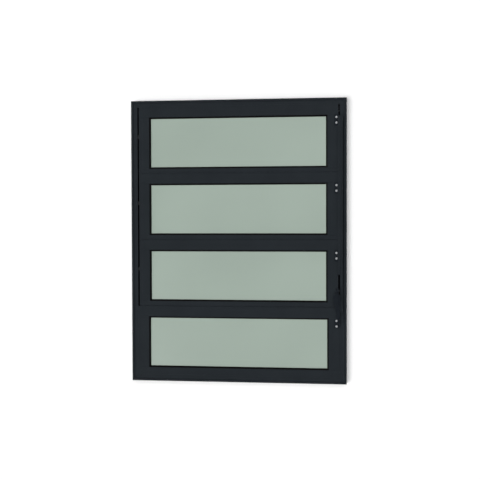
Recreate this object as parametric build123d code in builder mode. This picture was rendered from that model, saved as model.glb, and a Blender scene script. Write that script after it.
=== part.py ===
from build123d import *
import os
from math import asin, atan, cos, degrees, sin

# Pivot window in aluminium profiles, seen from the room: X to the right, Y out of the room, Z up.
# The origin is at the middle of the sill's underside. All sizes are in millimetres.

# Outer frame
window_width = 613.0
window_height = 800.0
frame_depth = 32.0
frame_face = 18.5
frame_wall = 1.4
edge_radius = 0.5

# Raised bead round the frame's outer edge: a slope outside, a narrow crest and a cove inside
bead_slope = 4.8
bead_slope_drop = 3.2
bead_crest = 0.9
bead_cove = 4.6
bead_radius = 0.7

# Slot for the brush seal, all round the frame's inner side, level with the leaves' outer edge
slot_lap = 1.8
slot_mouth = 3.2
slot_width = 5.2
slot_lip = 1.2
slot_depth = 1.3

# Profiles of the leaves and of the fixed light
leaf_setback = 1.3
leaf_depth = 18.0
leaf_wall = 1.3
leaf_face = 30.0
side_gap = 4.5
head_lap = 1.2
transom_gap = 1.7
leaf_count = 3
fin_height = 11.0
lap_gap = 0.5
rebate_drop = 12.2
bottom_box = 21.7
drip_gap = 0.6
drip_seat = 8.6

# Fixed light at the bottom
fixed_rail_face = 20.6
fixed_stile_face = 31.5
fixed_light_height = 146.0

# Glazing
pocket_depth = 9.0
glass_thickness = 4.0
glass_setback = 6.5
glass_bite = 6.5
gasket_show = 4.4
gasket_slope = 4.0
gasket_clearance = 0.3

# Drain slots through the outer wall of the sill
weep_width = 24.0
weep_height = 4.0
weep_rise = 4.5
weep_from_end = 90.0

# Leaf pivots
pin_radius = 3.0
pin_clearance = 0.1
pin_plate_side = 11.0
pin_plate = 1.5
pin_reach = 2.5
bush_side = 7.4
bush_shoulder_side = 9.4
bush_length = 3.0
running_gap = 0.3
fit_gap = 0.05

# Brackets that carry the link bar on the leaves, and the lever's base
plate_thickness = 1.5
plate_corner = 2.5
bracket_inset = 11.5
bracket_height = 34.0
bracket_drop = 45.0
ear_inset = 0.4
ear_radius = 4.0
pin_line_proud = 5.8
rivet_radius = 2.0
rivet_head_radius = 3.2
rivet_head = 0.8

# Link bar
bar_inset = 1.0
bar_channel_width = 6.5
bar_channel_depth = 9.0
bar_strip_width = 6.5
bar_strip_depth = 5.2
bar_wall = 1.3
bar_plate_gap = 1.0
bar_top_above_pin = 11.0
bar_channel_rise = 137.0
bar_end_below_pin = 8.0

# Lever. Its heights are measured from its pivot, its widths from the bar's left side.
crank = 40.0
lever_base_height = 25.0
lever_base_drop = 14.4
eye_width = 4.2
eye_gap = 0.3
neck_reach = 4.0
neck_rise = 31.0
neck_step = 3.0
grip_reach = 12.0
grip_width = 19.1
grip_low_rise = 57.0
grip_high_rise = 84.0
grip_corner = 4.5
grip_thickness = 6.0
grip_lean = 12.0
grip_bend_drop = 8.0
ridge_width = 5.1
ridge_proud = 2.4
eye_corner = 2.0
stem_radius = 2.4
knob_reach = 0.2
knob_radius = 5.2
knob_low_rise = 87.6
knob_high_rise = 99.6
knob_round = 2.2

# Places that follow from the sizes above
half_width = window_width / 2
frame_front = -frame_depth / 2
frame_back = frame_depth / 2
face_setback = leaf_setback + leaf_wall + running_gap
opening_half = half_width - frame_face
leaf_half = opening_half - side_gap
leaf_front = frame_front + leaf_setback
leaf_back = leaf_front + leaf_depth
slot_front = leaf_back - slot_lap
slot_middle = slot_front + slot_mouth / 2
pocket_front = leaf_front + leaf_wall
pocket_back = leaf_back - leaf_wall
pivot_y = leaf_front + leaf_depth / 2
glass_front = leaf_front + glass_setback
first_top = window_height - frame_face + head_lap
fixed_low = frame_face + fixed_rail_face
fixed_high = fixed_low + fixed_light_height
transom_top = fixed_high + leaf_face
leaf_pitch = (first_top - transom_top - transom_gap) / leaf_count
light_height = leaf_pitch - leaf_face - rebate_drop - lap_gap
bush_shoulder = side_gap - running_gap
bracket_left = leaf_half - bracket_inset
bar_left = leaf_half - bar_inset
pin_y = leaf_front - pin_line_proud
leaf_tops = [first_top - leaf_pitch * n for n in range(leaf_count)]
link_heights = [top - bracket_drop for top in leaf_tops]
pivot_heights = [z - crank for z in link_heights]
lever_pivot_z = fixed_high - lever_base_drop
lever_link_z = lever_pivot_z + crank
rivet_hole = rivet_radius + pin_clearance
bar_back = leaf_front - plate_thickness - bar_plate_gap

os.makedirs("parts", exist_ok=True)


def save(piece, name):
    """Label a finished piece and write it to its own file."""
    piece.part.label = name
    export_step(piece.part, f"parts/{name}.step")


def outline(points, mode=Mode.ADD):
    """Fill a closed outline in the current sketch."""
    with BuildLine() as line:
        Polyline(*points, close=True)
    make_face(line.edges(), mode=mode)


def frame_section(place):
    """Hollow frame profile in the current sketch. place turns a distance in from the window's
    edge and a depth into sketch coordinates."""
    crest_end = bead_slope + bead_crest
    cove_end = crest_end + bead_cove
    face = frame_front + face_setback
    cove_radius = (bead_cove**2 + face_setback**2) / (2 * face_setback)
    half_turn = asin(bead_cove / cove_radius) / 2
    cove_middle = (cove_end - cove_radius * sin(half_turn), face - cove_radius * (1 - cos(half_turn)))
    slot_floor = frame_face - slot_lip - slot_depth
    points = [
        (cove_end, face),
        (frame_face, face),
        (frame_face, slot_front),
        (frame_face - slot_lip, slot_front),
        (frame_face - slot_lip, slot_middle - slot_width / 2),
        (slot_floor, slot_middle - slot_width / 2),
        (slot_floor, slot_middle + slot_width / 2),
        (frame_face - slot_lip, slot_middle + slot_width / 2),
        (frame_face - slot_lip, slot_front + slot_mouth),
        (frame_face, slot_front + slot_mouth),
        (frame_face, frame_back),
        (0, frame_back),
        (0, frame_front + bead_slope_drop),
        (bead_slope, frame_front),
        (crest_end, frame_front),
    ]
    with BuildLine() as line:
        Polyline(*[place(across, deep) for across, deep in points])
        ThreePointArc(place(crest_end, frame_front), place(*cove_middle), place(cove_end, face))
    make_face(line.edges())
    offset(amount=-frame_wall, kind=Kind.INTERSECTION, mode=Mode.SUBTRACT)


def glazing_section(place, face_width):
    """Box profile with a glazing pocket, for stiles and the fixed bottom rail. place turns a
    distance from the outer edge and a depth into sketch coordinates."""
    box = face_width - pocket_depth
    points = [
        (0, leaf_front),
        (face_width, leaf_front),
        (face_width, pocket_front),
        (box, pocket_front),
        (box, pocket_back),
        (face_width, pocket_back),
        (face_width, leaf_back),
        (0, leaf_back),
    ]
    outline([place(across, deep) for across, deep in points])
    hollow = [
        (leaf_wall, pocket_front),
        (box - leaf_wall, pocket_front),
        (box - leaf_wall, pocket_back),
        (leaf_wall, pocket_back),
    ]
    outline([place(across, deep) for across, deep in hollow], mode=Mode.SUBTRACT)


def top_rail_section(top):
    """Top rail of a leaf, and the transom: a box with an upstand fin on the room side, a glazing
    pocket below, and a rebate outside for the drip fin of the leaf above."""
    fin_foot = top - fin_height
    box_low = top - leaf_face + pocket_depth
    seat = fin_foot - drip_seat
    rebate = pocket_back - lap_gap
    foot = top - leaf_face
    outline([
        (leaf_front, top),
        (pocket_front, top),
        (pocket_front, fin_foot),
        (rebate, fin_foot),
        (rebate, seat),
        (leaf_back, seat),
        (leaf_back, foot),
        (pocket_back, foot),
        (pocket_back, box_low),
        (pocket_front, box_low),
        (pocket_front, foot),
        (leaf_front, foot),
    ])
    hollow = [
        (pocket_front, fin_foot - leaf_wall),
        (rebate - leaf_wall, fin_foot - leaf_wall),
        (rebate - leaf_wall, box_low + leaf_wall),
        (pocket_front, box_low + leaf_wall),
    ]
    outline(hollow, mode=Mode.SUBTRACT)


def bottom_rail_section(top):
    """Bottom rail of a leaf, from the edge of its face down: glazing pocket, box with a rebate in
    front for the fin of the leaf below, and a drip fin outside."""
    rebate = pocket_front + lap_gap
    box_high = top - pocket_depth
    box_low = top - bottom_box
    drip_low = top - rebate_drop - lap_gap - fin_height - drip_seat + drip_gap
    outline([
        (leaf_front, top),
        (pocket_front, top),
        (pocket_front, box_high),
        (pocket_back, box_high),
        (pocket_back, top),
        (leaf_back, top),
        (leaf_back, drip_low),
        (pocket_back, drip_low),
        (pocket_back, box_low),
        (rebate, box_low),
        (rebate, top - rebate_drop),
        (leaf_front, top - rebate_drop),
    ])
    hollow = [
        (rebate + leaf_wall, box_high - leaf_wall),
        (pocket_back, box_high - leaf_wall),
        (pocket_back, box_low + leaf_wall),
        (rebate + leaf_wall, box_low + leaf_wall),
    ]
    outline(hollow, mode=Mode.SUBTRACT)


def frame_rail(place, height, up):
    """A head or sill, mitred at both ends. up is 1 at the head and -1 at the sill."""
    with BuildPart() as rail:
        with BuildSketch(Plane.YZ.offset(-half_width)):
            frame_section(place)
        extrude(amount=window_width)
        fillet(rail.edges().filter_by(Axis.X).group_by(Axis.Y)[0], bead_radius)
        fillet(rail.edges().filter_by(Axis.X).group_by(Axis.Y)[-1], edge_radius)
        for side in (-1, 1):
            corner = Plane(origin=(side * half_width, 0, height), z_dir=(-side, 0, up))
            split(bisect_by=corner, keep=Keep.TOP)
    return rail


def frame_jamb():
    """The right jamb, mitred at both ends, with square holes for the pivot bushes."""
    with BuildPart() as jamb:
        with BuildSketch(Plane.XY):
            frame_section(lambda across, deep: (half_width - across, deep))
        extrude(amount=window_height)
        fillet(jamb.edges().filter_by(Axis.Z).group_by(Axis.Y)[0], bead_radius)
        fillet(jamb.edges().filter_by(Axis.Z).group_by(Axis.Y)[-1], edge_radius)
        split(bisect_by=Plane(origin=(half_width, 0, 0), z_dir=(-1, 0, -1)), keep=Keep.BOTTOM)
        corner = Plane(origin=(half_width, 0, window_height), z_dir=(-1, 0, 1))
        split(bisect_by=corner, keep=Keep.BOTTOM)
        with BuildSketch(Plane.YZ.offset(opening_half - frame_wall)):
            with Locations(*[(pivot_y, z) for z in pivot_heights]):
                Rectangle(bush_side + 2 * fit_gap, bush_side + 2 * fit_gap)
        extrude(amount=3 * frame_wall, mode=Mode.SUBTRACT)
    return jamb


def mirrored(piece):
    """The same piece for the other side of the window."""
    with BuildPart() as other:
        mirror(piece.part, about=Plane.YZ)
    return other


def rail(section, top, half):
    """A straight rail between two upright faces."""
    with BuildPart() as piece:
        with BuildSketch(Plane.YZ.offset(-half)):
            section(top)
        extrude(amount=2 * half)
        along = piece.edges().filter_by(Axis.X)
        fillet(along.group_by(Axis.Y)[0], edge_radius)
    return piece


def stile(edge, face_width, low, high, holes):
    """A right-hand stile from low to high, with holes for pivot pins through its outer wall."""
    with BuildPart() as piece:
        with BuildSketch(Plane.XY.offset(low)):
            glazing_section(lambda across, deep: (edge - across, deep), face_width)
        extrude(amount=high - low)
        along = piece.edges().filter_by(Axis.Z)
        fillet(along.group_by(Axis.Y)[0], edge_radius)
        for z in holes:
            with BuildSketch(Plane.YZ.offset(edge - 2 * leaf_wall)):
                with Locations((pivot_y, z)):
                    Circle(pin_radius + fit_gap)
            extrude(amount=3 * leaf_wall, mode=Mode.SUBTRACT)
    return piece


def light_rectangle(half, low, high, grow):
    """A rectangle over a light's opening, larger by grow on each side, in the current sketch."""
    with Locations((0, (low + high) / 2)):
        Rectangle(2 * (half + grow), high - low + 2 * grow)


def glass(half, low, high):
    """A pane that reaches into the glazing pockets on all four sides."""
    with BuildPart() as pane:
        with BuildSketch(Plane.XZ.offset(-glass_front - glass_thickness)):
            light_rectangle(half, low, high, glass_bite)
        extrude(amount=glass_thickness)
    return pane


def gasket(half, low, high):
    """Rubber channel wrapped round the pane's edge, with a sloping lip on each side."""
    slope = degrees(atan(gasket_show / gasket_slope))
    with BuildPart() as ring:
        with BuildSketch(Plane.XZ.offset(-pocket_back)):
            light_rectangle(half, low, high, pocket_depth - gasket_clearance)
            with Locations((0, (low + high) / 2)):
                Rectangle(2 * (half - gasket_show), high - low - 2 * gasket_show,
                          mode=Mode.SUBTRACT)
        extrude(amount=pocket_back - pocket_front)
        with BuildSketch(Plane.XZ.offset(-pocket_front)):
            light_rectangle(half, low, high, 0)
        extrude(amount=-gasket_slope, taper=slope, mode=Mode.SUBTRACT)
        with BuildSketch(Plane.XZ.offset(-pocket_back)):
            light_rectangle(half, low, high, 0)
        extrude(amount=gasket_slope, taper=slope, mode=Mode.SUBTRACT)
        with BuildSketch(Plane.XZ.offset(-glass_front - glass_thickness)):
            light_rectangle(half, low, high, glass_bite)
        extrude(amount=glass_thickness, mode=Mode.SUBTRACT)
    return ring


def rod(start, end, radius, y, z):
    """A round solid along X, in the current part."""
    with BuildSketch(Plane.YZ.offset(start)) as disc:
        with Locations((y, z)):
            Circle(radius)
    extrude(disc.sketch, amount=end - start)


def block(start, end, side, y, z):
    """A solid with a square section along X, in the current part."""
    with BuildSketch(Plane.YZ.offset(start)) as square:
        with Locations((y, z)):
            Rectangle(side, side)
    extrude(square.sketch, amount=end - start)


def pivot_pair(z):
    """Two pivot pins, each on a square plate inside its stile."""
    wall = leaf_half - leaf_wall
    with BuildPart() as right:
        block(wall - pin_plate, wall, pin_plate_side, pivot_y, z)
        rod(wall, opening_half + pin_reach, pin_radius, pivot_y, z)
    with BuildPart() as pair:
        add(right.part)
        mirror(right.part, about=Plane.YZ)
    return pair


def bracket(left, right, low, high, ear_z):
    """A screwed plate with one ear at its right edge, bent towards the room, with a rivet hole."""
    front = leaf_front - plate_thickness
    with BuildPart() as piece:
        with BuildSketch(Plane.XZ.offset(-leaf_front)) as plate:
            with Locations(((left + right) / 2, (low + high) / 2)):
                Rectangle(right - left, high - low)
            chamfer(plate.vertices(), plate_corner)
        extrude(amount=plate_thickness)
        with BuildSketch(Plane.YZ.offset(right - plate_thickness)):
            with Locations((pin_y, ear_z)):
                Circle(ear_radius)
            with Locations(((pin_y + front) / 2, ear_z)):
                Rectangle(front - pin_y, 2 * ear_radius)
        extrude(amount=plate_thickness)
        with BuildSketch(Plane.YZ.offset(right - 2 * plate_thickness)):
            with Locations((pin_y, ear_z)):
                Circle(rivet_hole)
        extrude(amount=3 * plate_thickness, mode=Mode.SUBTRACT)
    return piece


# Frame. The head's slot holds a stop fin that hangs down outside the top leaf.
head = frame_rail(lambda across, deep: (deep, window_height - across), window_height, 1)
stop_root = window_height - frame_face + slot_lip + slot_depth
stop_low = first_top - fin_height - drip_seat + drip_gap
with BuildPart() as head_with_stop:
    add(head.part)
    with BuildSketch(Plane.YZ.offset(-opening_half)):
        outline([
            (pocket_back, stop_root),
            (leaf_back, stop_root),
            (leaf_back, stop_low),
            (pocket_back, stop_low),
        ])
    extrude(amount=2 * opening_half)
save(head_with_stop, "frame_head")
sill = frame_rail(lambda across, deep: (deep, across), 0, -1)
weep_x = half_width - weep_from_end
with BuildPart() as drained_sill:
    add(sill.part)
    with BuildSketch(Plane.XZ.offset(-frame_back - frame_wall)):
        with Locations((-weep_x, weep_rise), (weep_x, weep_rise)):
            Rectangle(weep_width, weep_height)
    extrude(amount=3 * frame_wall, mode=Mode.SUBTRACT)
save(drained_sill, "frame_sill")
jamb_right = frame_jamb()
save(jamb_right, "frame_jamb_right")
save(mirrored(jamb_right), "frame_jamb_left")

# Brush seals in the side gaps, from the transom's seat up to the head's stop
brush_low = transom_top - fin_height - drip_seat + running_gap
backing_front = slot_middle - slot_width / 2 + running_gap / 2
backing_back = slot_middle + slot_width / 2 - running_gap / 2
backing_out = opening_half + slot_lip + pin_clearance
with BuildPart() as brush_right:
    with BuildSketch(Plane.XY.offset(brush_low)):
        outline([
            (leaf_half + fit_gap, slot_front + running_gap),
            (backing_out, slot_front + running_gap),
            (backing_out, backing_front),
            (backing_out + slot_depth - 2 * pin_clearance, backing_front),
            (backing_out + slot_depth - 2 * pin_clearance, backing_back),
            (backing_out, backing_back),
            (backing_out, slot_front + slot_mouth - running_gap),
            (leaf_half + fit_gap, slot_front + slot_mouth - running_gap),
        ])
    extrude(amount=stop_low - running_gap - brush_low)
save(brush_right, "jamb_brush_right")
save(mirrored(brush_right), "jamb_brush_left")

# Fixed light
save(rail(top_rail_section, transom_top, opening_half), "transom")
fixed_half = opening_half - fixed_stile_face
with BuildPart() as fixed_bottom_rail:
    with BuildSketch(Plane.YZ.offset(-opening_half)):
        glazing_section(lambda across, deep: (deep, frame_face + across), fixed_rail_face)
    extrude(amount=2 * opening_half)
    fixed_edges = fixed_bottom_rail.edges().filter_by(Axis.X)
    fillet(fixed_edges.group_by(Axis.Y)[0], edge_radius)
save(fixed_bottom_rail, "fixed_bottom_rail")
fixed_stile_right = stile(opening_half, fixed_stile_face, fixed_low, fixed_high, [])
save(fixed_stile_right, "fixed_stile_right")
save(mirrored(fixed_stile_right), "fixed_stile_left")
save(glass(fixed_half, fixed_low, fixed_high), "fixed_glass")
save(gasket(fixed_half, fixed_low, fixed_high), "fixed_gasket")

# Leaves, from the top down
ear_right = bar_left + bar_wall + ear_inset + plate_thickness
light_half = leaf_half - leaf_face
for number in range(leaf_count):
    leaf = f"leaf_{number + 1}"
    top = leaf_tops[number]
    light_top = top - leaf_face
    light_low = light_top - light_height
    link_z = link_heights[number]
    pivot_z = pivot_heights[number]
    save(rail(top_rail_section, top, leaf_half), f"{leaf}_top_rail")
    save(rail(bottom_rail_section, light_low, leaf_half), f"{leaf}_bottom_rail")
    stile_right = stile(leaf_half, leaf_face, light_low, light_top, [pivot_z])
    save(stile_right, f"{leaf}_stile_right")
    save(mirrored(stile_right), f"{leaf}_stile_left")
    save(glass(light_half, light_low, light_top), f"{leaf}_glass")
    save(gasket(light_half, light_low, light_top), f"{leaf}_gasket")
    save(pivot_pair(pivot_z), f"{leaf}_pivots")
    plate_low = link_z - bracket_height / 2
    plate_high = link_z + bracket_height / 2
    save(bracket(bracket_left, ear_right, plate_low, plate_high, link_z), f"{leaf}_link_bracket")

# Square nylon bushes in the jambs, with a shoulder that fills the side gap
with BuildPart() as bushes:
    for z in pivot_heights:
        block(opening_half - bush_shoulder, opening_half, bush_shoulder_side, pivot_y, z)
        block(opening_half, opening_half + bush_length, bush_side, pivot_y, z)
    with BuildSketch(Plane.YZ.offset(leaf_half)):
        with Locations(*[(pivot_y, z) for z in pivot_heights]):
            Circle(pin_radius + pin_clearance)
    extrude(amount=side_gap + 2 * bush_length, mode=Mode.SUBTRACT)
    mirror(about=Plane.YZ)
save(bushes, "pivot_bushes")

# Link bar: a channel over the brackets' ears and a strip beside it that runs on to the lever
bar_channel_right = bar_left + bar_channel_width
bar_right = bar_channel_right + bar_strip_width
bar_front = bar_back - bar_channel_depth
bar_low = lever_link_z - bar_end_below_pin
bar_high = link_heights[0] + bar_top_above_pin
channel_low = lever_pivot_z + bar_channel_rise
with BuildPart() as link_bar:
    with BuildSketch(Plane.XY.offset(channel_low)):
        outline([
            (bar_left, bar_back),
            (bar_left, bar_front),
            (bar_channel_right, bar_front),
            (bar_channel_right, bar_back),
            (bar_channel_right - bar_wall, bar_back),
            (bar_channel_right - bar_wall, bar_front + bar_wall),
            (bar_left + bar_wall, bar_front + bar_wall),
            (bar_left + bar_wall, bar_back),
        ])
    extrude(amount=bar_high - channel_low)
    with BuildSketch(Plane.XY.offset(bar_low)):
        with Locations(((bar_channel_right + bar_right) / 2, pin_y)):
            Rectangle(bar_strip_width, bar_strip_depth)
    extrude(amount=bar_high - bar_low)
    with BuildSketch(Plane.YZ.offset(bar_left - bar_wall)):
        with Locations(*[(pin_y, z) for z in link_heights + [lever_link_z]]):
            Circle(rivet_hole)
    extrude(amount=bar_right - bar_left + 2 * bar_wall, mode=Mode.SUBTRACT)
save(link_bar, "link_bar")

# Rivets that join the bar to the three brackets and to the lever
neck_left = bar_left - neck_reach
lever_blind = neck_left + plate_thickness
with BuildPart() as link_pins:
    for z in link_heights:
        rod(bar_left - rivet_head, bar_left, rivet_head_radius, pin_y, z)
        rod(bar_left, bar_right, rivet_radius, pin_y, z)
        rod(bar_right, bar_right + rivet_head, rivet_head_radius, pin_y, z)
    rod(lever_blind, bar_right, rivet_radius, pin_y, lever_link_z)
    rod(bar_right, bar_right + rivet_head, rivet_head_radius, pin_y, lever_link_z)
save(link_pins, "link_pins")

# Lever base and its pin
lug_right = bar_channel_right - 2 * eye_gap
base_low = lever_pivot_z - lever_base_height / 2
base_high = lever_pivot_z + lever_base_height / 2
save(bracket(bracket_left, lug_right, base_low, base_high, lever_pivot_z), "lever_base")

eye_right = lug_right - plate_thickness - eye_gap
eye_left = eye_right - eye_width
with BuildPart() as lever_pin:
    rod(eye_left - rivet_head, eye_left, rivet_head_radius, pin_y, lever_pivot_z)
    rod(eye_left, lug_right, rivet_radius, pin_y, lever_pivot_z)
save(lever_pin, "lever_pin")

# Lever, cast in one piece: an eye beside the base's ear, a neck that takes the bar's rivet, a grip
# with a ridge down its front and two thinner wings, and a turned knob on a short stem
lug_front = pin_y - ear_radius
lug_back = pin_y + ear_radius
eye_low = lever_pivot_z - ear_radius
neck_low = base_high + plate_thickness
neck_high = lever_pivot_z + neck_rise
link_high = lever_link_z + ear_radius
grip_low = lever_pivot_z + grip_low_rise
grip_high = lever_pivot_z + grip_high_rise
grip_bend = grip_high - grip_bend_drop
grip_left = bar_left - grip_reach
grip_right = grip_left + grip_width
grip_front = lug_front - grip_lean
grip_back = grip_front + grip_thickness
ridge_right = neck_left + ridge_width
knob_x = bar_left - knob_reach
knob_y = (grip_front + grip_back) / 2
knob_low = lever_pivot_z + knob_low_rise
knob_high = lever_pivot_z + knob_high_rise
with BuildPart() as lever:
    with BuildSketch(Plane.XZ.offset(-lug_back)):
        outline([
            (eye_left, eye_low),
            (eye_right, eye_low),
            (eye_right, neck_low),
            (lug_right, neck_low + neck_step),
            (lug_right, link_high),
            (grip_right, grip_low),
            (grip_right, grip_high - grip_corner),
            (grip_right - grip_corner, grip_high),
            (grip_left + grip_corner, grip_high),
            (grip_left, grip_high - grip_corner),
            (grip_left, grip_low + grip_corner),
            (neck_left, neck_high),
            (neck_left, neck_low + neck_step),
            (eye_left, neck_low),
        ])
    extrude(amount=lug_back - grip_front)
    with BuildSketch(Plane.YZ.offset(grip_left)):
        outline([
            (lug_front, eye_low + eye_corner),
            (lug_front, neck_high),
            (grip_front, grip_bend),
            (grip_front, grip_high),
            (grip_back, grip_high),
            (grip_back, grip_bend),
            (lug_front, link_high + neck_step),
            (lug_back, link_high),
            (lug_back, eye_low + eye_corner),
            (lug_back - eye_corner, eye_low),
            (lug_front + eye_corner, eye_low),
        ])
    extrude(amount=grip_width, mode=Mode.INTERSECT)
    wings = ((grip_left - eye_gap, neck_left), (ridge_right, grip_right + eye_gap))
    for wing_left, wing_right in wings:
        with BuildSketch(Plane.YZ.offset(wing_left)):
            outline([
                (lug_front, neck_high),
                (grip_front - ridge_proud, neck_high),
                (grip_front - ridge_proud, grip_high + ridge_proud),
                (grip_front + ridge_proud, grip_high + ridge_proud),
                (grip_front + ridge_proud, grip_bend),
            ])
        extrude(amount=wing_right - wing_left, mode=Mode.SUBTRACT)
    with BuildSketch(Plane(origin=(knob_x, knob_y, 0), x_dir=(1, 0, 0), z_dir=(0, -1, 0))):
        outline([
            (0, grip_high - stem_radius),
            (stem_radius, grip_high - stem_radius),
            (stem_radius, knob_low),
            (knob_radius, knob_low + knob_round),
            (knob_radius, knob_high - 2 * knob_round),
            (knob_radius - knob_round / 2, knob_high - knob_round / 2),
            (knob_radius - 3 * knob_round / 2, knob_high),
            (0, knob_high),
        ])
    revolve(axis=Axis((knob_x, knob_y, 0), (0, 0, 1)))
    with BuildSketch(Plane.YZ.offset(eye_left - eye_gap)):
        with Locations((pin_y, lever_pivot_z)):
            Circle(rivet_hole)
    extrude(amount=eye_width + 2 * eye_gap, mode=Mode.SUBTRACT)
    with BuildSketch(Plane.YZ.offset(lever_blind)):
        with Locations((pin_y, lever_link_z)):
            Circle(rivet_hole)
    extrude(amount=lug_right + eye_gap - lever_blind, mode=Mode.SUBTRACT)
save(lever, "lever")
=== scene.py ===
from math import cos, radians, sin

import bmesh
import bpy
from mathutils import Euler, Matrix, Vector


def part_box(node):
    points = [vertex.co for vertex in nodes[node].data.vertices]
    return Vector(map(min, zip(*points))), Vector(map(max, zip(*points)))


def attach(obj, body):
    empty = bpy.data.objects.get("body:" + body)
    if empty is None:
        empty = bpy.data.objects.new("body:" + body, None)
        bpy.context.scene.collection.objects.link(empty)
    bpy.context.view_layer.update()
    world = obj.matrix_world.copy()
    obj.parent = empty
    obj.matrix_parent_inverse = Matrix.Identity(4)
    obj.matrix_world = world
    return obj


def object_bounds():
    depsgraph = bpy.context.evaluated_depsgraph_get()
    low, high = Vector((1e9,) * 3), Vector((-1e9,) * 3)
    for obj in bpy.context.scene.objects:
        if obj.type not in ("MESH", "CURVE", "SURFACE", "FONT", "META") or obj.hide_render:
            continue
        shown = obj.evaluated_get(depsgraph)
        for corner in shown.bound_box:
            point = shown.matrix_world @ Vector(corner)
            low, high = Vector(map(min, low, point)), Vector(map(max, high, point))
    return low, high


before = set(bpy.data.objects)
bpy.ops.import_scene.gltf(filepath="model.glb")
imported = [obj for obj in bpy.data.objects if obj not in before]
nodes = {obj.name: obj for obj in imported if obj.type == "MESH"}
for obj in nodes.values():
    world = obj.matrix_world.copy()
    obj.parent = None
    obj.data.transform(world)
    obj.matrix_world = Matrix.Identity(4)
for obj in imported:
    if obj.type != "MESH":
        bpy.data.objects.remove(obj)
cad_low, cad_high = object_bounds()

# Camera. A 75 mm lens stands 2.8 m in front of the window, a little past its right edge and just above
# its middle, so that a thin strip of the right jamb's outer face shows.
eye = Vector((0.3959, -2.8094, 0.4847))
look_down, look_left, roll = 1.64, 7.92, -0.17
camera_data = bpy.data.cameras.new("camera")
camera_data.lens = 75
camera_data.sensor_width = 36
camera = bpy.data.objects.new("camera", camera_data)
bpy.context.scene.collection.objects.link(camera)
turn = Euler((radians(90 - look_down), 0, radians(look_left))).to_matrix().to_4x4()
camera.matrix_world = Matrix.Translation(eye) @ turn @ Matrix.Rotation(radians(roll), 4, "Z")
bpy.context.scene.camera = camera
bpy.context.scene.view_settings.view_transform = "Standard"

# Pale floor. The window's back lies against a smooth white studio board. From behind, the board lets
# the view and the light through, so that the window's outer side shows too. A little glow of its own
# makes it white to the view, to gloss and through glass.
floor_reach = 6.0
floor_gap = 0.0004
floor_middle = 0.4
board_paint = 0.8
board_glow = 0.2


def add_node(tree, kind, links=None, **settings):
    """Add a node, set its properties, and set or link each of its sockets named in links."""
    node = tree.nodes.new(kind)
    for name, value in settings.items():
        setattr(node, name, value)
    for socket, source in (links or {}).items():
        if isinstance(source, bpy.types.NodeSocket):
            tree.links.new(source, node.inputs[socket])
        else:
            node.inputs[socket].default_value = source
    return node


def new_material(name):
    """An empty material and its node tree."""
    material = bpy.data.materials.new(name)
    material.use_nodes = True
    material.node_tree.nodes.clear()
    return material, material.node_tree


bpy.ops.object.select_all(action="DESELECT")
bpy.ops.mesh.primitive_plane_add(
    size=2 * floor_reach, location=(0, cad_high.y + floor_gap, floor_middle),
    rotation=(radians(90), 0, 0))
floor = bpy.context.object
floor.name = "floor"
bpy.ops.object.transform_apply(location=True, rotation=True, scale=True)
board, tree = new_material("white_studio_board")
path = add_node(tree, "ShaderNodeLightPath")
side = add_node(tree, "ShaderNodeNewGeometry")
seen = add_node(tree, "ShaderNodeMath", {
    0: path.outputs["Is Camera Ray"], 1: path.outputs["Is Glossy Ray"]}, operation="MAXIMUM")
seen = add_node(tree, "ShaderNodeMath", {
    0: seen.outputs[0], 1: path.outputs["Is Transmission Ray"]}, operation="MAXIMUM")
glow = add_node(tree, "ShaderNodeMath", {0: seen.outputs[0], 1: board_glow}, operation="MULTIPLY")
through = add_node(tree, "ShaderNodeMath", {
    0: side.outputs["Backfacing"], 1: path.outputs["Is Shadow Ray"]}, operation="MAXIMUM")
paint = add_node(tree, "ShaderNodeBsdfDiffuse", {
    "Color": (board_paint, board_paint, board_paint, 1)})
light = add_node(tree, "ShaderNodeEmission", {"Strength": glow.outputs[0]})
lit = add_node(tree, "ShaderNodeAddShader", {0: paint.outputs[0], 1: light.outputs[0]})
clear = add_node(tree, "ShaderNodeBsdfTransparent")
both = add_node(tree, "ShaderNodeMixShader", {
    0: through.outputs[0], 1: lit.outputs[0], 2: clear.outputs[0]})
add_node(tree, "ShaderNodeOutputMaterial", {"Surface": both.outputs[0]})
floor.data.materials.append(board)

# Studio light. Soft boxes stand round the window. The view, the glass and all gloss find a plain white
# surround, with the boxes brighter in the gloss. A soft key light from the lower left throws the
# shadow and isn't mirrored in anything. A second one falls square on to the outer side.
room_light = 0.02


def compass(aside, rise):
    """The direction that lies so many degrees to the left of straight in front, and above level."""
    level = cos(radians(rise))
    return Vector((-sin(radians(aside)) * level, -cos(radians(aside)) * level, sin(radians(rise))))


world = bpy.data.worlds.new("studio")
world.use_nodes = True
bpy.context.scene.world = world
tree = world.node_tree
tree.nodes.clear()
heading = add_node(tree, "ShaderNodeTexCoord").outputs["Generated"]
# Each box's name, degrees to the left and above level, reach in degrees, and strength.
soft_boxes = [
    ("above_right", -14, 22, 26, 6.3),
    ("low_left", 22, -12, 20, 3.7),
    ("far_left", 70, 5, 30, 1.8),
    ("far_low_left", 40, -30, 30, 1.3),
    ("under", 0, -60, 36, 0.9),
    ("behind", 190, 30, 34, 6.0),
]
total = room_light
for name, aside, rise, reach, strength in soft_boxes:
    facing = add_node(tree, "ShaderNodeVectorMath", {0: heading, 1: compass(aside, rise)},
                      operation="DOT_PRODUCT")
    apart = add_node(tree, "ShaderNodeMath", {0: facing.outputs["Value"]}, operation="ARCCOSINE")
    box = add_node(tree, "ShaderNodeMapRange", {
        "Value": apart.outputs[0], "From Min": 0.0, "From Max": radians(reach),
        "To Min": strength, "To Max": 0.0}, interpolation_type="SMOOTHSTEP", name=name)
    total = add_node(tree, "ShaderNodeMath", {0: total, 1: box.outputs["Result"]}, operation="ADD")
    total = total.outputs[0]
path = add_node(tree, "ShaderNodeLightPath")
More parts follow.
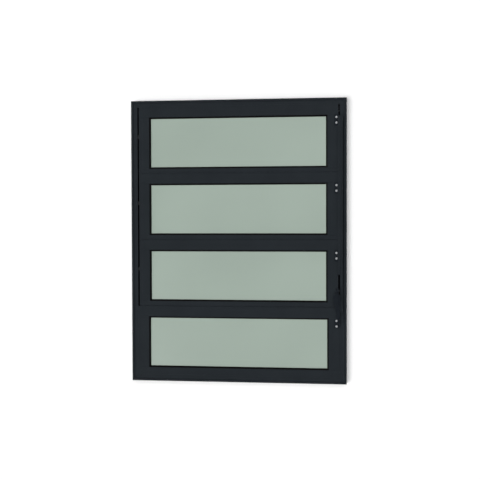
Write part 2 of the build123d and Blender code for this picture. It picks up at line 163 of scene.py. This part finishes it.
seen = add_node(tree, "ShaderNodeMath", {
    0: path.outputs["Is Camera Ray"], 1: path.outputs["Is Transmission Ray"]}, operation="MAXIMUM")
surround = add_node(tree, "ShaderNodeMapRange", {
    "Value": seen.outputs[0], "To Min": total, "To Max": 1.0})
surround = add_node(tree, "ShaderNodeMath", {
    0: surround.outputs["Result"], 1: path.outputs["Is Glossy Ray"]}, operation="MAXIMUM")
glow = add_node(tree, "ShaderNodeBackground", {
    "Color": (1, 1, 1, 1), "Strength": surround.outputs[0]})
add_node(tree, "ShaderNodeOutputWorld", {"Surface": glow.outputs[0]})
# Each lamp's name, direction of travel, strength, spread in degrees, and whether gloss mirrors it.
lamps = [
    ("key", -compass(15, -7), 1.46, 26.0, False),
    ("back", Vector((0, -1, 0)), 1.2, 20.0, True),
]
for name, travel, strength, spread, mirrored in lamps:
    lamp_data = bpy.data.lights.new(name, "SUN")
    lamp_data.energy = strength
    lamp_data.angle = radians(spread)
    lamp = bpy.data.objects.new(name, lamp_data)
    lamp.visible_glossy = mirrored
    lamp.rotation_euler = travel.to_track_quat("-Z", "Y").to_euler()
    bpy.context.scene.collection.objects.link(lamp)

# Profiles of the frame, the leaves and the fixed light: extruded aluminium with a matte charcoal
# powder coat, whose baked film has a fine orange peel and little shine. The frame's corners are
# mitred, with a hairline where the ends meet.
peel_spacing = 0.0011
peel_depth = 0.000025
patch_size = 0.07
hairline = 0.00018


def linear(code):
    """An sRGB hex colour as the linear values that a shader takes."""
    values = [int(code[place:place + 2], 16) / 255 for place in (1, 3, 5)]
    lit = [v / 12.92 if v <= 0.04045 else ((v + 0.055) / 1.055) ** 2.4 for v in values]
    return (*lit, 1.0)


def powder_coat(name, mitred):
    """Matte charcoal powder coat, with the frame's mitre hairlines where asked."""
    material, tree = new_material(name)
    place = add_node(tree, "ShaderNodeTexCoord").outputs["Object"]
    patches = add_node(tree, "ShaderNodeTexNoise", {
        "Vector": place, "Scale": 1 / patch_size, "Detail": 3.0, "Roughness": 0.55})
    peel = add_node(tree, "ShaderNodeTexNoise", {
        "Vector": place, "Scale": 1 / peel_spacing, "Detail": 2.0, "Roughness": 0.5})
    shade = add_node(tree, "ShaderNodeValToRGB", {"Fac": patches.outputs["Fac"]})
    shade.color_ramp.elements[0].position = 0.3
    shade.color_ramp.elements[0].color = linear("#1B1F23")
    shade.color_ramp.elements[1].position = 0.7
    shade.color_ramp.elements[1].color = linear("#1F2327")
    gloss = add_node(tree, "ShaderNodeMapRange", {
        "Value": patches.outputs["Fac"], "From Min": 0.3, "From Max": 0.7,
        "To Min": 0.37, "To Max": 0.43})
    bump = add_node(tree, "ShaderNodeBump", {
        "Strength": 0.5, "Distance": peel_depth, "Height": peel.outputs["Fac"]})
    coat = add_node(tree, "ShaderNodeBsdfPrincipled", {
        "Base Color": shade.outputs["Color"], "Roughness": gloss.outputs["Result"],
        "Specular IOR Level": 0.08, "Specular Tint": (0.86, 0.97, 1.0, 1.0),
        "Normal": bump.outputs["Normal"]})
    if mitred:
        xyz = add_node(tree, "ShaderNodeSeparateXYZ", {"Vector": place})
        across = add_node(tree, "ShaderNodeMath", {0: xyz.outputs["X"]}, operation="ABSOLUTE")
        inward = add_node(tree, "ShaderNodeMath", {
            0: cad_high.x, 1: across.outputs[0]}, operation="SUBTRACT")
        down = add_node(tree, "ShaderNodeMath", {
            0: cad_high.z, 1: xyz.outputs["Z"]}, operation="SUBTRACT")
        edge = add_node(tree, "ShaderNodeMath", {
            0: xyz.outputs["Z"], 1: down.outputs[0]}, operation="MINIMUM")
        apart = add_node(tree, "ShaderNodeMath", {
            0: inward.outputs[0], 1: edge.outputs[0]}, operation="SUBTRACT")
        near = add_node(tree, "ShaderNodeMath", {0: apart.outputs[0]}, operation="ABSOLUTE")
        line = add_node(tree, "ShaderNodeMath", {
            0: near.outputs[0], 1: hairline}, operation="LESS_THAN")
        dark = add_node(tree, "ShaderNodeMix", {
            "Factor": line.outputs[0], "A": shade.outputs["Color"], "B": linear("#0B0B0C")},
            data_type="RGBA")
        tree.links.new(dark.outputs["Result"], coat.inputs["Base Color"])
    add_node(tree, "ShaderNodeOutputMaterial", {"Surface": coat.outputs[0]})
    return material


def finish_nodes(material, names):
    """Give CAD nodes a material."""
    for name in names:
        for material_slot in nodes[name].material_slots:
            material_slot.material = material


finish_nodes(powder_coat("powder_coated_frame_aluminium", True), [
    "frame_head", "frame_sill", "frame_jamb_left", "frame_jamb_right"])
profiles = ["transom", "fixed_bottom_rail", "fixed_stile_left", "fixed_stile_right", "link_bar"]
for leaf in ("leaf_1", "leaf_2", "leaf_3"):
    for part in ("top_rail", "bottom_rail", "stile_left", "stile_right"):
        profiles.append(f"{leaf}_{part}")
finish_nodes(powder_coat("powder_coated_aluminium", False), profiles)

# Panes: 4 mm tinted float glass, pale grey-green, floated flat and bright on both faces. The tint
# wanders by a trace over a hand's width or two, and each pane is held in its pocket by a gasket.
tint_wander = 0.25
glass, tree = new_material("tinted_float_glass")
place = add_node(tree, "ShaderNodeTexCoord").outputs["Object"]
wander = add_node(tree, "ShaderNodeTexNoise", {
    "Vector": place, "Scale": 1 / tint_wander, "Detail": 1.0, "Roughness": 0.4})
tint = add_node(tree, "ShaderNodeValToRGB", {"Fac": wander.outputs["Fac"]})
tint.color_ramp.elements[0].position = 0.35
tint.color_ramp.elements[0].color = linear("#9AA99E")
tint.color_ramp.elements[1].position = 0.65
tint.color_ramp.elements[1].color = linear("#9FAEA3")
pane = add_node(tree, "ShaderNodeBsdfPrincipled", {
    "Base Color": tint.outputs["Color"], "Roughness": 0.06, "IOR": 1.5, "Alpha": 0.88})
add_node(tree, "ShaderNodeOutputMaterial", {"Surface": pane.outputs[0]})
finish_nodes(glass, ["fixed_glass", "leaf_1_glass", "leaf_2_glass", "leaf_3_glass"])

# Gaskets: extruded black glazing rubber round each pane, pressed into the pocket on both faces. It
# is dull, with a fine grain of 0.4 mm and a little bloom in patches of 17 mm.
bloom_patch = 1 / 60
rubber_grain = 0.0004
rubber_grain_depth = 0.00003
rubber, tree = new_material("extruded_glazing_rubber")
place = add_node(tree, "ShaderNodeTexCoord").outputs["Object"]
bloom = add_node(tree, "ShaderNodeTexNoise", {
    "Vector": place, "Scale": 1 / bloom_patch, "Detail": 4.0, "Roughness": 0.6})
grain = add_node(tree, "ShaderNodeTexNoise", {
    "Vector": place, "Scale": 1 / rubber_grain, "Detail": 1.0, "Roughness": 0.5})
shade = add_node(tree, "ShaderNodeValToRGB", {"Fac": bloom.outputs["Fac"]})
shade.color_ramp.elements[0].position = 0.3
shade.color_ramp.elements[0].color = linear("#020202")
shade.color_ramp.elements[1].position = 0.75
shade.color_ramp.elements[1].color = linear("#050506")
bump = add_node(tree, "ShaderNodeBump", {
    "Strength": 0.4, "Distance": rubber_grain_depth, "Height": grain.outputs["Fac"]})
skin = add_node(tree, "ShaderNodeBsdfPrincipled", {
    "Base Color": shade.outputs["Color"], "Roughness": 0.8, "Specular IOR Level": 0.1,
    "Normal": bump.outputs["Normal"]})
add_node(tree, "ShaderNodeOutputMaterial", {"Surface": skin.outputs[0]})
finish_nodes(rubber, ["fixed_gasket", "leaf_1_gasket", "leaf_2_gasket", "leaf_3_gasket"])

# Brush seals: black polypropylene pile on a backing strip, slid into a slot in the jamb, its fibres
# across the side gap. Each fibre is drawn 0.4 mm thick, coarser than a real one, so that it shows.
fibre_length = 1 / 60
fibre_thickness = 0.0004
fibre_height = 0.0002
pile, tree = new_material("polypropylene_pile")
place = add_node(tree, "ShaderNodeTexCoord").outputs["Object"]
fibre_grid = add_node(tree, "ShaderNodeMapping", {
    "Vector": place, "Scale": (1 / fibre_length, 1 / fibre_thickness, 1 / fibre_thickness)})
fibres = add_node(tree, "ShaderNodeTexNoise", {
    "Vector": fibre_grid.outputs[0], "Scale": 1.0, "Detail": 2.0, "Roughness": 0.6})
# The pile's colour follows its fibre bump and is darker in the hollows between fibres: painted shade.
shade = add_node(tree, "ShaderNodeValToRGB", {"Fac": fibres.outputs["Fac"]})
shade.color_ramp.elements[0].position = 0.35
shade.color_ramp.elements[0].color = linear("#030304")
shade.color_ramp.elements[1].position = 0.7
shade.color_ramp.elements[1].color = linear("#0D0D0F")
bump = add_node(tree, "ShaderNodeBump", {
    "Strength": 0.8, "Distance": fibre_height, "Height": fibres.outputs["Fac"]})
fuzz = add_node(tree, "ShaderNodeBsdfPrincipled", {
    "Base Color": shade.outputs["Color"], "Roughness": 0.9, "Specular IOR Level": 0.1,
    "Normal": bump.outputs["Normal"]})
add_node(tree, "ShaderNodeOutputMaterial", {"Surface": fuzz.outputs[0]})
finish_nodes(pile, ["jamb_brush_left", "jamb_brush_right"])

# Pivot bushes: black moulded nylon, pushed into square holes in the jambs. They are satin, with the
# fine grain that a spark-eroded mould leaves, drawn 0.33 mm wide so that it shows.
bush_grain = 1 / 3000
bush_grain_depth = 0.00002
nylon, tree = new_material("moulded_nylon")
place = add_node(tree, "ShaderNodeTexCoord").outputs["Object"]
grain = add_node(tree, "ShaderNodeTexNoise", {
    "Vector": place, "Scale": 1 / bush_grain, "Detail": 1.0, "Roughness": 0.5})
# The nylon's colour follows the grain's bump and is darker in its pits: painted shade.
shade = add_node(tree, "ShaderNodeValToRGB", {"Fac": grain.outputs["Fac"]})
shade.color_ramp.elements[0].color = linear("#0A0A0B")
shade.color_ramp.elements[1].color = linear("#101112")
bump = add_node(tree, "ShaderNodeBump", {
    "Strength": 0.5, "Distance": bush_grain_depth, "Height": grain.outputs["Fac"]})
moulded = add_node(tree, "ShaderNodeBsdfPrincipled", {
    "Base Color": shade.outputs["Color"], "Roughness": 0.5, "Specular IOR Level": 0.25,
    "Normal": bump.outputs["Normal"]})
add_node(tree, "ShaderNodeOutputMaterial", {"Surface": moulded.outputs[0]})
finish_nodes(nylon, ["pivot_bushes"])

# Pins and rivets: turned steel, blackened in hot oxide, which hold the leaves, the link bar and the
# lever. They have a few paler rubbed spots, 1.4 mm apart.
rubbed_spot = 1 / 700
oxide, tree = new_material("blackened_steel")
place = add_node(tree, "ShaderNodeTexCoord").outputs["Object"]
rub = add_node(tree, "ShaderNodeTexNoise", {
    "Vector": place, "Scale": 1 / rubbed_spot, "Detail": 4.0, "Roughness": 0.65})
shade = add_node(tree, "ShaderNodeValToRGB", {"Fac": rub.outputs["Fac"]})
shade.color_ramp.elements[0].position = 0.45
shade.color_ramp.elements[0].color = linear("#2E2F31")
shade.color_ramp.elements[1].position = 0.75
shade.color_ramp.elements[1].color = linear("#55575A")
steel = add_node(tree, "ShaderNodeBsdfPrincipled", {
    "Base Color": shade.outputs["Color"], "Metallic": 1.0, "Roughness": 0.4})
add_node(tree, "ShaderNodeOutputMaterial", {"Surface": steel.outputs[0]})
finish_nodes(oxide, ["link_pins", "lever_pin", "leaf_1_pivots", "leaf_2_pivots", "leaf_3_pivots"])

# Link brackets, lever base and lever: pressed plates and a casting, screwed and riveted in place, with
# a thin black coat. It is a little uneven in tone, over 11 mm, and finely pitted, every 0.7 mm.
coat_cloud = 1 / 90
coat_pit = 1 / 1400
coat_pit_depth = 0.00004
satin, tree = new_material("satin_black_coat")
place = add_node(tree, "ShaderNodeTexCoord").outputs["Object"]
cloud = add_node(tree, "ShaderNodeTexNoise", {
    "Vector": place, "Scale": 1 / coat_cloud, "Detail": 4.0, "Roughness": 0.6})
pits = add_node(tree, "ShaderNodeTexNoise", {
    "Vector": place, "Scale": 1 / coat_pit, "Detail": 2.0, "Roughness": 0.5})
shade = add_node(tree, "ShaderNodeValToRGB", {"Fac": cloud.outputs["Fac"]})
shade.color_ramp.elements[0].position = 0.3
shade.color_ramp.elements[0].color = linear("#12161B")
shade.color_ramp.elements[1].position = 0.72
shade.color_ramp.elements[1].color = linear("#171B20")
bump = add_node(tree, "ShaderNodeBump", {
    "Strength": 0.5, "Distance": coat_pit_depth, "Height": pits.outputs["Fac"]})
cast = add_node(tree, "ShaderNodeBsdfPrincipled", {
    "Base Color": shade.outputs["Color"], "Roughness": 0.45, "Specular IOR Level": 0.08,
    "Specular Tint": (0.86, 0.97, 1.0, 1.0), "Normal": bump.outputs["Normal"]})
add_node(tree, "ShaderNodeOutputMaterial", {"Surface": cast.outputs[0]})
finish_nodes(satin, ["lever_base", "lever", "leaf_1_link_bracket", "leaf_2_link_bracket",
                     "leaf_3_link_bracket"])

# Bracket screws: zinc-plated steel pan heads with a cross recess, two to each link bracket and two to
# the lever base, driven through the plate into the stile, each to its own angle. The plating has a
# haze 2 mm across.
head_radius = 0.0032
head_height = 0.0024
head_round = 0.0013
recess_width = 0.0010
recess_length = 0.0038
recess_depth = 0.0013
screw_x = 0.2787
screw_apart = 0.0154
plate_thickness = 0.0015
plating_haze = 0.002
turned_further = 51
zinc, tree = new_material("zinc_plated_steel")
place = add_node(tree, "ShaderNodeTexCoord").outputs["Object"]
haze = add_node(tree, "ShaderNodeTexNoise", {
    "Vector": place, "Scale": 1 / plating_haze, "Detail": 3.0, "Roughness": 0.6})
shade = add_node(tree, "ShaderNodeValToRGB", {"Fac": haze.outputs["Fac"]})
shade.color_ramp.elements[0].position = 0.3
shade.color_ramp.elements[0].color = linear("#96989B")
shade.color_ramp.elements[1].position = 0.7
shade.color_ramp.elements[1].color = linear("#ABADAF")
bright = add_node(tree, "ShaderNodeBsdfPrincipled", {
    "Base Color": shade.outputs["Color"], "Metallic": 1.0, "Roughness": 0.3})
add_node(tree, "ShaderNodeOutputMaterial", {"Surface": bright.outputs[0]})
bpy.ops.object.select_all(action="DESELECT")
bpy.ops.mesh.primitive_cylinder_add(
    vertices=40, radius=head_radius, depth=head_height, end_fill_type="TRIFAN",
    location=(0, -head_height / 2, 0), rotation=(radians(90), 0, 0))
screw = bpy.context.object
bpy.ops.object.transform_apply(location=True, rotation=True, scale=True)
bpy.ops.object.mode_set(mode="EDIT")
bpy.ops.mesh.select_all(action="DESELECT")
shape = bmesh.from_edit_mesh(screw.data)
for edge in shape.edges:
    rim = all(abs(v.co.y + head_height) < 1e-6 for v in edge.verts)
    edge.select = rim and all(Vector((v.co.x, 0, v.co.z)).length > 0.9 * head_radius
                              for v in edge.verts)
bmesh.update_edit_mesh(screw.data)
bpy.ops.mesh.bevel(offset=head_round, segments=5, profile=0.6)
bpy.ops.object.mode_set(mode="OBJECT")
for turned in (0, 90):
    bpy.ops.object.select_all(action="DESELECT")
    bpy.ops.mesh.primitive_cube_add(
        size=1, location=(0, -head_height, 0), rotation=(0, radians(turned), 0),
        scale=(recess_length, 2 * recess_depth, recess_width))
    cutter = bpy.context.object
    bpy.ops.object.transform_apply(location=True, rotation=True, scale=True)
    bpy.context.view_layer.objects.active = screw
    cut = screw.modifiers.new("recess", "BOOLEAN")
    cut.operation = "DIFFERENCE"
    cut.object = cutter
    cut.solver = "EXACT"
    bpy.ops.object.modifier_apply(modifier=cut.name)
    bpy.data.objects.remove(cutter)
bpy.ops.object.select_all(action="DESELECT")
screw.select_set(True)
bpy.context.view_layer.objects.active = screw
bpy.ops.object.shade_smooth_by_angle(angle=radians(35))
screw.data.materials.clear()
screw.data.materials.append(zinc)
# Each plate, and the angle in degrees of its upper screw's recess.
plates = [("leaf_1_link_bracket", 17), ("leaf_2_link_bracket", 64), ("leaf_3_link_bracket", 38),
          ("lever_base", 8)]
for plate, first_turn in plates:
    low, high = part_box(plate)
    plate_front = high[1] - plate_thickness
    middle = (low[2] + high[2]) / 2
    for name, step, turned in (("upper", 0.5, first_turn), ("lower", -0.5, first_turn + turned_further)):
        head = bpy.data.objects.new(f"{plate}_{name}_screw", screw.data.copy())
        bpy.context.scene.collection.objects.link(head)
        spot = Matrix.Translation((screw_x, plate_front, middle + step * screw_apart))
        head.data.transform(spot @ Matrix.Rotation(radians(turned), 4, "Y"))
        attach(head, "root")
bpy.data.objects.remove(screw)

bpy.context.view_layer.update()
